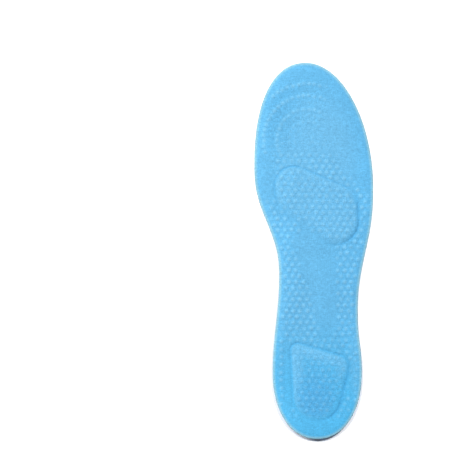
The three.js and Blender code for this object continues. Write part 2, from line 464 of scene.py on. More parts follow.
def side_dots():
    """A single column of dots along each side of the heel."""
    columns = []
    for x, first in SIDE_DOTS:
        y = np.arange(first, SIDE_DOT_END, SIDE_DOT_PITCH)
        same = np.ones(len(y))
        columns.append(np.column_stack([x * same, y, DOT_RADIUS * same, SIDE_DOT_SHARE * same]))
    return np.vstack(columns)


def toe_field(x, y):
    """1 on the ridges of the rings, and how far inside the outermost ring a place lies."""
    away = np.hypot(x - RING_CENTRE[0], y - RING_CENTRE[1])
    here = smooth(y, LAST_ROW - 6, LAST_ROW + 4) * (1 - smooth(x, 2, 18))
    ridge = np.zeros(x.shape)
    for radius, strength in RINGS:
        if strength > RIDGED:
            ridge = np.maximum(ridge, strength * np.exp(-((away - radius) / RIDGE_WIDTH) ** 2))
    return ridge * here, smooth(RINGS[0][0] + 4 - away, 0, 5) * here


def ring_dots(outline):
    """Rings of closer dots under the toes, fading towards the outer side."""
    found = []
    for radius, strength in RINGS:
        count = int(math.radians(RING_SPAN) * radius / RING_DOT_PITCH)
        angles = (np.arange(-count, count + 1) + 0.3) * RING_DOT_PITCH / radius
        x = RING_CENTRE[0] + radius * np.sin(angles)
        y = RING_CENTRE[1] + radius * np.cos(angles)
        lowest = LAST_ROW - 14 * (x < -24)
        fade = RING_DOT_SHARE * strength * (1 - 0.9 * smooth(x, 0, 14))
        fade = fade * smooth(y, lowest, LAST_ROW + 4)
        inside = inside_loop(x, y, outline) & (fade > LEAST_RING_DOT)
        rim, _ = distance_to_loop(x, y, outline)
        fade = fade * smooth(rim, *RING_DOT_RIM)
        found.append(np.column_stack([x, y, np.full(len(x), RING_DOT_RADIUS), fade])[inside])
    return np.vstack(found)


def all_dots(outline):
    """Every dot as x, y, radius and height."""
    random = np.random.default_rng(DOT_SEED)
    dots = np.vstack([row_dots(outline), side_dots(), ring_dots(outline)])
    dots[:, :2] += random.normal(0, DOT_SCATTER, (len(dots), 2))
    dots[:, 3] *= random.uniform(*DOT_SPREAD, len(dots)) * DOT_HEIGHT
    return dots[dots[:, 3] > LEAST_DOT]


def dot_relief(x, y, dots):
    """Height of the dots over a grid whose rows run along Y, and how dotted each place is."""
    relief = np.zeros(x.shape)
    near = np.zeros(x.shape)
    for cx, cy, radius, height in dots:
        reach = 2 * radius
        first, last = np.searchsorted(y[:, y.shape[1] // 2], [cy - reach, cy + reach])
        rows = slice(first, last)
        away = (x[rows] - cx) ** 2 + (y[rows] - cy) ** 2
        relief[rows] += height * np.maximum(0, 1 - away / radius ** 2) ** 2
        near[rows] += DOT_HALO * height / DOT_HEIGHT * np.maximum(0, 1 - away / reach ** 2)
    return relief, np.clip(near, 0, 1)


def oval(x, y, strength, centre, half, soft):
    """The given strength in an upright oval, and 0 outside it, with a soft edge."""
    away = np.hypot((x - centre[0]) / half[0], (y - centre[1]) / half[1])
    return strength * (1 - smooth(away, 1 - soft, 1 + soft))


def rubbed_nap_and_highlight(x, y, heel_depth):
    """How much paler the nap is: brushed up on the forefoot and waist, and painted highlight on the
    heel cushion's front and inner edges and the heel's outer wall, which face the light.
    """
    forefoot = oval(x, y, *FOREFOOT_RUB)
    waist = oval(x, y, *INNER_WAIST_RUB) + oval(x, y, *OUTER_WAIST_RUB)
    # Painted highlight on the heel cushion's front and inner edges and on the heel's outer wall,
    # which face the light.
    front_edge = smooth(y, 30, 60)
    inner_edge = 0.6 * smooth(-x, 2, 14)
    band = np.exp(-((heel_depth - 4.5) / 5) ** 2) * smooth(heel_depth, 0, 1.5)
    heel = 0.75 * band * np.clip(front_edge + inner_edge, 0, 1)
    heel_wall_highlight = oval(x, y, *HEEL_WALL_HIGHLIGHT)
    return np.clip(np.maximum(np.maximum(forefoot, waist), np.maximum(heel, heel_wall_highlight)), 0, 1)


def cushion_relief(x, y):
    """The cushions' height, how raised each point is, the painted shade in their creases and on
    flanks away from the light, and the painted highlight on their lit shoulders.
    """
    relief = np.zeros(x.shape)
    raised = np.zeros(x.shape)
    crease_shade = np.zeros(x.shape)
    shoulder_highlight = np.zeros(x.shape)
    for cushion in CUSHIONS:
        depth, outward = cushion_depth(x, y, cushion)
        flank_share, pull, lit_edge = (
            np.interp(np.degrees(outward), FACING, values)
            for values in (FLANK_SHARE, CREASE_PULL, SHOULDER_HIGHLIGHT)
        )
        climb = smooth(depth, FLANK_START, FLANK * flank_share)
        crown = smooth(depth, 0, CROWN_REACH)
        groove = np.exp(-((depth + CREASE_OUTSIDE) / CREASE_WIDTH) ** 2) * pull
        # Painted shade on the flank that faces outwards and back, away from the light.
        facing_away = smooth(np.cos(outward + SHADED_FLANK_TURN), *SHADED_FLANK_FACING)
        flank_shade = SHADED_FLANK_STRENGTH * facing_away * np.exp(-((depth - SHADED_FLANK_DEPTH) / SHADED_FLANK_WIDTH) ** 2)
        relief += FLANK_RISE * climb + CROWN * crown - CREASE_DEPTH * groove
        raised = np.maximum(raised, climb)
        # Painted shade in the crease and on the shaded flank.
        crease_shade = np.maximum(crease_shade, np.maximum(groove, flank_shade))
        # Painted highlight along the shoulder, strongest where the edge faces the light.
        edge = np.exp(-((depth - SHOULDER_DEPTH) / SHOULDER_WIDTH) ** 2)
        shoulder_highlight = np.maximum(shoulder_highlight, lit_edge * edge)
    return relief, raised, crease_shade, shoulder_highlight


# ---------------------------------------------------------------- meshes

def grid(rows, columns):
    """Points across the outline: one row of columns at each station."""
    stations = ramped(LENGTH, ROW_STEP, TIP_RAMP)[::rows]
    across = ramped(COLUMNS - EDGE_RAMP, 1, EDGE_RAMP)[::columns] / (COLUMNS - EDGE_RAMP)
    left, right = edge_x(stations, -1), edge_x(stations, 1)
    x = left[:, None] + (right - left)[:, None] * across
    return x, np.repeat(stations[:, None], len(across), axis=1)


class Shell:
    """Collects one piece's points and faces, and makes its mesh."""

    def __init__(self):
        self.points = []
        self.faces = []
        self.marks = {}
        self.count = 0

    def add_points(self, x, y, z, **marks):
        """Adds points and returns their numbers, in the shape of x."""
        shape = np.shape(x)
        z = np.broadcast_to(z, shape)
        self.points.append(np.column_stack([np.ravel(x), np.ravel(y), np.ravel(z)]))
        total = int(np.prod(shape))
        for name, value in marks.items():
            values = np.ravel(np.broadcast_to(value, shape))
            self.marks.setdefault(name, []).append((self.count, values))
        numbers = np.arange(self.count, self.count + total).reshape(shape)
        self.count += total
        return numbers

    def add_grid(self, x, y, z, facing_up, **marks):
        """A surface over the outline. Its end rows are single points, and its rim is returned."""
        numbers = self.add_points(x, y, z, **marks)
        numbers[0] = numbers[0, 0]
        numbers[-1] = numbers[-1, 0]
        a, b = numbers[:-1, :-1].ravel(), numbers[:-1, 1:].ravel()
        c, d = numbers[1:, 1:].ravel(), numbers[1:, :-1].ravel()
        for i, j, k in ((a, b, c), (a, c, d)):
            whole = (i != j) & (j != k) & (k != i)
            faces = np.column_stack([i, j, k])[whole]
            self.faces.append(faces if facing_up else faces[:, ::-1])
        return rim_of(numbers)

    def add_wall(self, lower, upper):
        """Joins two rim loops. One may have twice the other's points."""
        count = min(len(lower), len(upper))
        at = np.arange(count)
        after = (at + 1) % count
        if len(lower) == len(upper):
            self.faces.append(np.column_stack([lower[at], lower[after], upper[after]]))
            self.faces.append(np.column_stack([lower[at], upper[after], upper[at]]))
        elif len(lower) > len(upper):
            start, middle, end = 2 * at, 2 * at + 1, (2 * at + 2) % len(lower)
            self.faces.append(np.column_stack([lower[start], lower[middle], upper[at]]))
            self.faces.append(np.column_stack([lower[middle], upper[after], upper[at]]))
            self.faces.append(np.column_stack([lower[middle], lower[end], upper[after]]))
        else:
            start, middle, end = 2 * at, 2 * at + 1, (2 * at + 2) % len(upper)
            self.faces.append(np.column_stack([lower[at], upper[middle], upper[start]]))
            self.faces.append(np.column_stack([lower[at], lower[after], upper[middle]]))
            self.faces.append(np.column_stack([lower[after], upper[end], upper[middle]]))

    def make(self, name):
        """The collected mesh as a named piece, in metres and in the frame's own place."""
        points = np.vstack(self.points)
        faces = np.vstack(self.faces)
        used = np.unique(faces)
        renumber = np.full(len(points), -1)
        renumber[used] = np.arange(len(used))
        points = (points[used] + (0, HEEL_BACK, 0)) * MM
        mesh = bpy.data.meshes.new(name)
        mesh.from_pydata(points.tolist(), [], renumber[faces].tolist())
        for mark, parts in self.marks.items():
            values = np.zeros(self.count)
            for start, part in parts:
                values[start:start + len(part)] = part
            attribute = mesh.attributes.new(mark, "FLOAT", "POINT")
            attribute.data.foreach_set("value", values[used].astype(np.float32))
        mesh.update()
        piece = bpy.data.objects.new(name, mesh)
        bpy.context.collection.objects.link(piece)
        return piece


def outward_of(x, y):
    """Outward directions along an anticlockwise loop."""
    points = np.column_stack([x, y])
    way = np.roll(points, -1, axis=0) - np.roll(points, 1, axis=0)
    way /= np.maximum(np.linalg.norm(way, axis=1), 1e-9)[:, None]
    return np.column_stack([way[:, 1], -way[:, 0]])


def rim_of(values):
    """The values of a grid round its rim, in the order of add_grid's loop."""
    return np.concatenate([values[:1, 0], values[1:-1, -1], values[-1:, 0], values[-2:0:-1, 0]])


def finish_shape(piece, angle):
    """Shades a piece smooth, but for edges sharper than the angle."""
    bpy.ops.object.select_all(action="DESELECT")
    bpy.context.view_layer.objects.active = piece
    piece.select_set(True)
    bpy.ops.object.shade_smooth_by_angle(angle=math.radians(angle))
    piece.select_set(False)


def nap_relief(shape, seed):
    """Small seeded unevenness of the brushed nap, about a millimetre across."""
    field = np.random.default_rng(seed).normal(0, 1, shape)
    for axis in (0, 1):
        field = field + 0.6 * (np.roll(field, 1, axis) + np.roll(field, -1, axis))
    return field / field.std()


# ---------------------------------------------------------------- fields on the shared grid

OUTLINE = outline_loop()
DOTS = all_dots(OUTLINE)
FINE_X, FINE_Y = grid(1, 1)
COARSE_X, COARSE_Y = grid(2, 2)
FINE_RIM, _ = distance_to_loop(FINE_X, FINE_Y, OUTLINE)
HEEL_DEPTH, _ = cushion_depth(FINE_X, FINE_Y, HEEL_CUSHION)

# The pressed shape: gel, cushions, dots and rings, rolled off at the edge.
FINE_CUSHIONS, FINE_RAISED, FINE_CREASE_SHADE, FINE_SHOULDER_HIGHLIGHT = cushion_relief(FINE_X, FINE_Y)
FINE_DOTS, FINE_DOTTED = dot_relief(FINE_X, FINE_Y, DOTS)
RIDGES, INSIDE_RINGS = toe_field(FINE_X, FINE_Y)
RIDGES = RIDGES * smooth(FINE_RIM, 2.5, 6)
ROLL = ROLL_DROP * np.clip(1 - FINE_RIM / ROLL_REACH, 0, 1) ** 2
FINE_TOP = gel_height(FINE_X, FINE_Y) + FINE_CUSHIONS + FINE_DOTS + RING_RIDGE * RIDGES - ROLL
COARSE_TOP = FINE_TOP[::2, ::2]

# Painted shade: deep blue between the dots and between the rings.
RING_GAP_SHADE = INSIDE_RINGS * np.clip(1 - 1.3 * RIDGES, 0, 1) * smooth(-FINE_X, 0, 24)
RING_GAP_SHADE = RING_GAP_SHADE * smooth(FINE_RIM, 4, 9)
DOT_GAP_SHADE = np.clip(FINE_DOTTED - 1.5 * FINE_DOTS / DOT_HEIGHT, 0, 1)
VALLEY_SHADE = np.maximum(DOT_GAP_SHADE, 0.75 * RING_GAP_SHADE)

# Painted highlight on the inner side of heel and waist and along the inner rim, where the light
# falls; also lighter at the outer side of the ball.
IN_HEEL = 1 - smooth(FINE_Y, 35, 100)
ON_INNER_SIDE = HEEL_OFFSET - FINE_X
INNER_RIM_HIGHLIGHT = np.exp(-(FINE_RIM / 6) ** 2) * smooth(ON_INNER_SIDE, 0, 24)
LIGHTER_AND_HIGHLIGHT = np.maximum(IN_HEEL, oval(FINE_X, FINE_Y, *INNER_WAIST_HIGHLIGHT))
LIGHTER_AND_HIGHLIGHT = LIGHTER_AND_HIGHLIGHT * smooth(ON_INNER_SIDE, 8, 24)
for lighter in (INNER_RIM_HIGHLIGHT, oval(FINE_X, FINE_Y, *OUTER_BALL_LIGHTER)):
    LIGHTER_AND_HIGHLIGHT = np.maximum(LIGHTER_AND_HIGHLIGHT, lighter)

# Where the nap is rough, where it is brushed paler or carries a painted highlight, and the painted
# shade of the heel's seat.
HEEL_SEAT_SHADE = oval(FINE_X, FINE_Y, *SEAT_SHADE_OVAL) * smooth(HEEL_DEPTH, 0, 5)
ROUGH = np.maximum(np.maximum(FINE_RAISED, 0.75 * FINE_DOTTED), 0.8 * INSIDE_RINGS)
BALL_RUB = 0.75 * FINE_RAISED * smooth(FINE_Y, 90, 140) * (1 - FINE_CREASE_SHADE)
RUBBED_AND_HIGHLIGHT = np.maximum(BALL_RUB, 0.35 * FINE_DOTTED)
RUBBED_AND_HIGHLIGHT = np.maximum(RUBBED_AND_HIGHLIGHT, rubbed_nap_and_highlight(FINE_X, FINE_Y, HEEL_DEPTH)) * (1 - 0.8 * FINE_CREASE_SHADE)


# ---------------------------------------------------------------- cloth and film

def round_drop(rim, radius):
    """How far a surface falls close to an edge that is rounded with a radius."""
    into = np.clip(radius - rim, 0, radius)
    return radius - np.sqrt(radius ** 2 - into ** 2)


def pushed_rim(push):
    """The rim of the fine grid, moved outwards by push."""
    x, y = rim_of(FINE_X), rim_of(FINE_Y)
    out = outward_of(x, y)
    return x + out[:, 0] * push, y + out[:, 1] * push


def make_cloth():
    """The brushed cloth: its top pressed over the dots, a soft cut edge, and its hidden back."""
    random = np.random.default_rng(CUT_SEED)
    shell = Shell()
    nap = NAP * nap_relief(FINE_X.shape, NAP_SEED) * smooth(FINE_RIM, 0.2, 1.5)
    nap = nap * mix(0.6, 1.0, ROUGH)
    top = FINE_TOP + CLOTH_TOP + nap - round_drop(FINE_RIM, CLOTH_ROUND)
    marks = {
        # Painted highlight on the dots' tops, the rings' ridges and the cushions' lit shoulders.
        "crest_highlight": FINE_DOTS / DOT_HEIGHT + 0.15 * RIDGES + 0.4 * FINE_SHOULDER_HIGHLIGHT,
        # Painted shade between the dots and between the rings.
        "valley_shade": VALLEY_SHADE,
        "rough": ROUGH,
        # Paler where the nap is brushed up, and a painted highlight on the heel's lit edges.
        "rubbed_and_highlight": RUBBED_AND_HIGHLIGHT,
        # Painted shade in the cushions' creases and on their flanks away from the light.
        "crease_shade": FINE_CREASE_SHADE,
        "in_heel": IN_HEEL,
        # Painted shade in the heel's seat.
        "seat_shade": HEEL_SEAT_SHADE,
        # Painted highlight along the inner side; lighter at the outer side of the ball.
        "lighter_and_highlight": LIGHTER_AND_HIGHLIGHT,
        # Pale cut fibres along the edge, partly a painted highlight.
        "rim": np.exp(-(FINE_RIM / CUT_REACH) ** 2),
    }
    above = shell.add_grid(FINE_X, FINE_Y, top, True, **marks)
    back = shell.add_grid(COARSE_X, COARSE_Y, COARSE_TOP + CLOTH_FOOT, False, rim=0)
    high, low = rim_of(top), rim_of(FINE_TOP) + CLOTH_FOOT
    for i in range(1, CLOTH_WALL_LOOPS + 1):
        share = i / (CLOTH_WALL_LOOPS + 1)
        bulge = CLOTH_BULGE * math.sin(math.pi * share)
        x, y = pushed_rim(bulge + random.normal(0, CUT_UNEVEN, len(high)))
        loop = shell.add_points(x, y, mix(high, low, share), rim=1)
        shell.add_wall(loop, above)
        above = loop
    shell.add_wall(back, above)
    return shell.make("cloth_cover")


def make_film():
    """The bonding film, following the pressed shape between gel and cloth."""
    shell = Shell()
    upper = shell.add_grid(COARSE_X, COARSE_Y, COARSE_TOP + FILM_TOP, True)
    lower = shell.add_grid(COARSE_X, COARSE_Y, COARSE_TOP + FILM_FOOT, False)
    shell.add_wall(lower, upper)
    return shell.make("bond_layer")


# ---------------------------------------------------------------- the gel's underside

def offset_ring(distance, pitch):
    """Evenly spaced points on a curve that runs inside the outline at a distance."""
    ring = OUTLINE - outward_of(OUTLINE[:, 0], OUTLINE[:, 1]) * distance
    steps = np.linalg.norm(np.roll(ring, -1, axis=0) - ring, axis=1)
    along = np.concatenate([[0], np.cumsum(steps)])
    count = round(along[-1] / pitch)
    at = np.arange(count) * along[-1] / count
    closed = np.vstack([ring, ring[:1]])
    return np.interp(at, along, closed[:, 0]), np.interp(at, along, closed[:, 1])


def pocket_field(x, y, centres, radius, depth):
    """Round flat-bottomed pockets at the given centres."""
    field = np.zeros(x.shape)
    reach = radius + 0.4
    for cx, cy in zip(*centres):
        first, last = np.searchsorted(y[:, y.shape[1] // 2], [cy - reach, cy + reach])
        rows = slice(first, last)
        gap = np.hypot(x[rows] - cx, y[rows] - cy)
        field[rows] = np.maximum(field[rows], depth * smooth(radius - gap, -0.45, 0.65))
    return field


def heel_cells(x, y):
    """Rings of round cells that run round the heel."""
    field = np.zeros(x.shape)
    for distance in CELL_RINGS:
        ring_x, ring_y = offset_ring(distance, CELL_PITCH)
        kept = ring_y < CELL_END
        cells = pocket_field(x, y, (ring_x[kept], ring_y[kept]), CELL_RADIUS, CELL_DEPTH)
        field = np.maximum(field, cells)
    return field


def waist_ribs(x, y):
    """Ribs that run lengthwise under the waist."""
    out = across_share(x, y)
    waves = 0.5 + 0.5 * np.cos(2 * math.pi * out * RIB_WAVES)
    here = (1 - smooth(np.abs(out), *RIB_REACH)) * smooth(y, *RIB_START) * (1 - smooth(y, *RIB_END))
    return RIB_DEPTH * waves ** 2 * here


def dot_pockets(x, y):
    """Shallow pockets below the dots, beside the ribs and under the forefoot."""
    dot_x, dot_y = lattice(-18, 26, -10, 11)
    rim, _ = distance_to_loop(dot_x, dot_y, OUTLINE)
    out = np.abs(across_share(dot_x, dot_y))
    kept = inside_loop(dot_x, dot_y, OUTLINE) & (rim > POCKET_RIM_GAP)
    kept &= (dot_y > POCKET_START) & (dot_y < LENGTH - POCKET_TOE_GAP)
    kept &= (out > POCKET_RIB_SHARE) | (dot_y > POCKET_RIB_END)
    kept &= (rim > POCKET_CELL_GAP) | (dot_y >= POCKET_CELL_END)
    return pocket_field(x, y, (dot_x[kept], dot_y[kept]), POCKET_RADIUS, POCKET_DEPTH)


def toe_trim_lines(y, rim):
    """Lines along the toe, to cut the insole shorter by."""
    toe = smooth(y, LENGTH - TRIM_START[0], LENGTH - TRIM_START[1])
    lines = [np.exp(-((rim - distance) / TRIM_WIDTH) ** 2) for distance in TRIM_LINES]
    return TRIM_DEPTH * np.maximum.reduce(lines) * toe


def cushion_rings(depth, pitch):
    """Rings moulded under a cushion."""
    waves = 0.5 + 0.5 * np.cos(2 * math.pi * (depth - CUSHION_RING_START) / pitch)
    return CUSHION_RING_DEPTH * smooth(waves, 0.25, 0.85) * smooth(depth, 1.2, 2.2)


def underside(x, y):
    """How far the underside is hollowed at each point."""
    rim, _ = distance_to_loop(x, y, OUTLINE)
    depths = [cushion_depth(x, y, cushion)[0] for cushion in CUSHIONS]
    beside_cushions = smooth(-np.maximum(*depths), 1.2, 2.0)
    field = np.maximum(np.maximum(heel_cells(x, y), waist_ribs(x, y)), dot_pockets(x, y))
    field = np.maximum(field * beside_cushions, toe_trim_lines(y, rim))
    for depth, pitch in zip(depths, CUSHION_RING_PITCHES):
        field = np.maximum(field, cushion_rings(depth, pitch))
    return field + round_drop(rim, FOOT_ROUND)


def make_slab():
    """The gel body before its windows are cut: pressed top, hollow wall, moulded underside."""
    shell = Shell()
    hollow = underside(FINE_X, FINE_Y)
    below = shell.add_grid(FINE_X, FINE_Y, hollow, False, hollow=hollow)
    top = shell.add_grid(COARSE_X, COARSE_Y, COARSE_TOP, True, hollow=0)
    high, low = rim_of(FINE_TOP), rim_of(hollow)
    for i in range(1, GEL_WALL_LOOPS + 1):
        share = i / (GEL_WALL_LOOPS + 1)
        x, y = pushed_rim(-GEL_WALL_HOLLOW * math.sin(math.pi * share))
        loop = shell.add_points(x, y, mix(low, high, share), hollow=0)
        shell.add_wall(below, loop)
        below = loop
    shell.add_wall(below, top)
    return shell.make("gel_slab")


def make_cutter(cushion, grow):
    """An upright prism of a cushion's outline."""
    loop = cushion_loop(cushion, grow, CUTTER_STEPS)
    steps = np.linalg.norm(np.roll(loop, -1, axis=0) - loop, axis=1)
    loop = loop[steps > 1e-3]
    count = len(loop)
    shell = Shell()
    low = shell.add_points(loop[:, 0], loop[:, 1], -CUTTER_REACH)
    high = shell.add_points(loop[:, 0], loop[:, 1], CUTTER_REACH)
    shell.add_wall(low, high)
    middle = loop.mean(axis=0)
    foot = shell.add_points(middle[:1], middle[1:], -CUTTER_REACH)
    head = shell.add_points(middle[:1], middle[1:], CUTTER_REACH)
    after = np.roll(np.arange(count), -1)
    shell.faces.append(np.column_stack([low[after], low, np.repeat(foot, count)]))
    shell.faces.append(np.column_stack([high, high[after], np.repeat(head, count)]))
    return shell.make("cushion_cutter")


def cut(piece, cutter, operation):
    """Applies one boolean with a cutter that is then removed."""
    modifier = piece.modifiers.new("window", "BOOLEAN")
    modifier.object = cutter
    modifier.operation = operation
    modifier.solver = "MANIFOLD"
    bpy.ops.object.select_all(action="DESELECT")
    bpy.context.view_layer.objects.active = piece
    piece.select_set(True)
    bpy.ops.object.modifier_apply(modifier=modifier.name)
    piece.select_set(False)
    bpy.data.objects.remove(cutter)


def make_gel():
    """Cuts the slab into the gel bed and its two cushions."""
    bed = make_slab()
    cushions = []
    for name, cushion in (("ball_cushion", BALL_CUSHION), ("heel_cushion", HEEL_CUSHION)):
        piece = bed.copy()
        piece.data = bed.data.copy()
        piece.name = piece.data.name = name
        bpy.context.collection.objects.link(piece)
        cushions.append((piece, cushion))
    for piece, cushion in cushions:
        cut(piece, make_cutter(cushion, 0), "INTERSECT")
        cut(bed, make_cutter(cushion, CUSHION_CLEARANCE), "DIFFERENCE")
    bed.name = bed.data.name = "gel_bed"
    return bed, cushions[0][0], cushions[1][0]


# ---------------------------------------------------------------- finishes

def new_finish(name):
    """A new material with its node tree and its principled shader."""
    material = bpy.data.materials.new(name)
    material.use_nodes = True
    tree = material.node_tree
    tree.nodes.clear()
    out = tree.nodes.new("ShaderNodeOutputMaterial")
    shader = tree.nodes.new("ShaderNodeBsdfPrincipled")
    tree.links.new(shader.outputs["BSDF"], out.inputs["Surface"])
    return material, tree, shader


def add_node(tree, kind, inputs=None, **settings):
    """A node with its settings made and its inputs set or linked."""
    node = tree.nodes.new(kind)
    for name, value in settings.items():
        setattr(node, name, value)
    for name, value in (inputs or {}).items():
        if isinstance(value, bpy.types.NodeSocket):
            tree.links.new(value, node.inputs[name])
        else:
            node.inputs[name].default_value = value
    return node


def noise(tree, place, scale, detail, roughness):
    """Noise with its scale per metre."""
    inputs = {"Vector": place, "Scale": scale, "Detail": detail, "Roughness": roughness}
    return add_node(tree, "ShaderNodeTexNoise", inputs).outputs["Fac"]


def mark(tree, name):
    """One of the values that the mesh carries at its points."""
    return add_node(tree, "ShaderNodeAttribute", attribute_name=name).outputs["Fac"]


def scaled(tree, value, low, high, out_low, out_high):
    """The value's range from low to high, mapped to another range and clamped there."""
    inputs = {"Value": value, "From Min": low, "From Max": high}
    inputs.update({"To Min": out_low, "To Max": out_high})
    return add_node(tree, "ShaderNodeMapRange", inputs).outputs["Result"]


def blended(tree, share, first, second, blend="MIX"):
    """Two colours blended. The mix node's colour inputs are 6 and 7, and its colour output is 2."""
    inputs = {0: share, 6: first, 7: second}
    node = add_node(tree, "ShaderNodeMix", inputs, data_type="RGBA", blend_type=blend)
    return node.outputs[2]


def multiplied(tree, colour, gain):
    """A colour with a gain on all of its channels."""
    return blended(tree, 1.0, colour, gain, "MULTIPLY")


def bumped(tree, height, distance, strength, normal=None):
    """A normal that a field bumps, on top of an earlier one if given."""
    inputs = {"Height": height, "Distance": distance, "Strength": strength}
    if normal:
        inputs["Normal"] = normal
    return add_node(tree, "ShaderNodeBump", inputs).outputs["Normal"]


CLOTH_BLUE = (0.076, 0.284, 0.480, 1)
CLOTH_LILAC = (0.102, 0.306, 0.488, 1)
CLOTH_HIGHLIGHT = (0.148, 0.372, 0.545, 1)
CLOTH_SHADE = (0.040, 0.230, 0.435, 1)
CLOTH_HEEL = (0.044, 0.285, 0.503, 1)
CLOTH_SEAT_SHADE = (0.056, 0.234, 0.455, 1)
CUT_FIBRE_AND_HIGHLIGHT = (0.180, 0.360, 0.445, 1)
SHEEN_TINT = (0.75, 0.88, 1.0, 1)
ROYAL_DEEP = (0.006, 0.150, 0.460, 1)
ROYAL_THIN = (0.012, 0.290, 0.640, 1)
SOFT_DEEP = (0.012, 0.230, 0.560, 1)
SOFT_THIN = (0.030, 0.380, 0.700, 1)
FILM_SHADE = (0.62, 0.73, 0.80, 1)
FILM_LIGHT = (0.74, 0.82, 0.87, 1)
FLOOR_WHITE = (0.93, 0.93, 0.93, 1)
HALF_WIDTH = 0.044  # of the insole, in metres
LIGHTER_AND_HIGHLIGHT_GAIN = 1.11
GRAIN_GAIN = (0.16, 0.24)  # where the nap lies smooth and where it is rough
KNIT_ROWS = 210  # per metre, as are the scales of the noises
KNIT_WALES = 260


def stretched_noise(tree, place, stretch, scale):
    """Noise drawn out into short threads along one axis."""
    inputs = {"Vector": place, "Scale": stretch}
    drawn = add_node(tree, "ShaderNodeMapping", inputs).outputs["Vector"]
    return noise(tree, drawn, scale, 2, 0.6)


def knit_wave(tree, place, scale, direction):
    """The wavering lines of stitches in one direction."""
    inputs = {"Vector": place, "Scale": scale, "Distortion": 2.2, "Detail": 2, "Detail Scale": 3}
    return add_node(tree, "ShaderNodeTexWave", inputs, bands_direction=direction).outputs["Color"]


def brushed_cloth():
    """Matte knit with a brushed nap, with painted highlight on the dots and painted shade between
    them and in the creases.
    """
    material, tree, shader = new_finish("brushed_cloth")
    place = add_node(tree, "ShaderNodeTexCoord").outputs["Object"]
    grain = noise(tree, place, 1250, 3, 0.7)
    streak = stretched_noise(tree, place, (0.35, 1.0, 1.0), 1000)
    column = stretched_noise(tree, place, (1.0, 0.35, 1.0), 1100)
    mottle = noise(tree, place, 330, 3, 0.6)
    cloud = noise(tree, place, 45, 3, 0.5)
    sideways = add_node(tree, "ShaderNodeSeparateXYZ", {"Vector": place}).outputs["X"]
    # Each tone: what brings it in, over which range, how far at most, and its colour.
    tones = (
        (mark(tree, "in_heel"), 0, 1, 0.9, CLOTH_HEEL),
        # Paler where the nap is brushed up, plus painted highlight on the heel's lit edges.
        (mark(tree, "rubbed_and_highlight"), 0, 1, 0.9, CLOTH_LILAC),
        # Painted highlight: paler towards the inner side, where the light falls.
        (sideways, HALF_WIDTH, -HALF_WIDTH, 0.16, CLOTH_HIGHLIGHT),
        # Painted shade in the heel's seat.
        (mark(tree, "seat_shade"), 0, 1, 0.45, CLOTH_SEAT_SHADE),
        # Painted shade between the dots and between the rings.
        (mark(tree, "valley_shade"), 0, 0.8, 0.22, CLOTH_SHADE),
        # Painted highlight on the dots' tops, the rings' ridges and the lit shoulders.
        (mark(tree, "crest_highlight"), 0.05, 0.9, 0.6, CLOTH_HIGHLIGHT),
        # Painted shade in the cushions' creases and shaded flanks.
        (mark(tree, "crease_shade"), 0.1, 1, 0.6, CLOTH_SHADE),
        # Pale cut fibres along the edge, partly a painted highlight.
        (mark(tree, "rim"), 0.1, 0.9, 0.95, CUT_FIBRE_AND_HIGHLIGHT),
    )
    colour = CLOTH_BLUE
    for field, low, high, most, tone in tones:
        colour = blended(tree, scaled(tree, field, low, high, 0.0, most), colour, tone)
    # Painted highlight: lighter along the inner side, and lighter at the outer side of the ball.
    colour = multiplied(tree, colour, scaled(tree, mark(tree, "lighter_and_highlight"), 0, 1, 1.0, LIGHTER_AND_HIGHLIGHT_GAIN))
    swing = scaled(tree, mark(tree, "rough"), 0, 1, *GRAIN_GAIN)
    inputs = {0: scaled(tree, grain, 0.3, 0.7, -1, 1), 1: swing, 2: 1.0}
    gain = add_node(tree, "ShaderNodeMath", inputs, operation="MULTIPLY_ADD").outputs[0]
    colour = multiplied(tree, colour, gain)
    for field, swing in ((streak, 0.10), (column, 0.07), (mottle, 0.03), (cloud, 0.03)):
        colour = multiplied(tree, colour, scaled(tree, field, 0.3, 0.7, 1 - swing, 1 + swing))
    tree.links.new(colour, shader.inputs["Base Color"])
    rows = knit_wave(tree, place, KNIT_ROWS, "Y")
    wales = knit_wave(tree, place, KNIT_WALES, "X")
    normal = bumped(tree, blended(tree, 0.5, rows, wales), 0.00012, 0.5)
    normal = bumped(tree, streak, 0.0003, 0.6, normal)
    normal = bumped(tree, grain, 0.0003, 0.8, normal)
    tree.links.new(normal, shader.inputs["Normal"])
    tree.links.new(scaled(tree, grain, 0.3, 0.7, 0.82, 1.0), shader.inputs["Roughness"])
    shader.inputs["Specular IOR Level"].default_value = 0.12
    shader.inputs["Sheen Weight"].default_value = 0.12
    shader.inputs["Sheen Roughness"].default_value = 0.5
    shader.inputs["Sheen Tint"].default_value = SHEEN_TINT
    return material


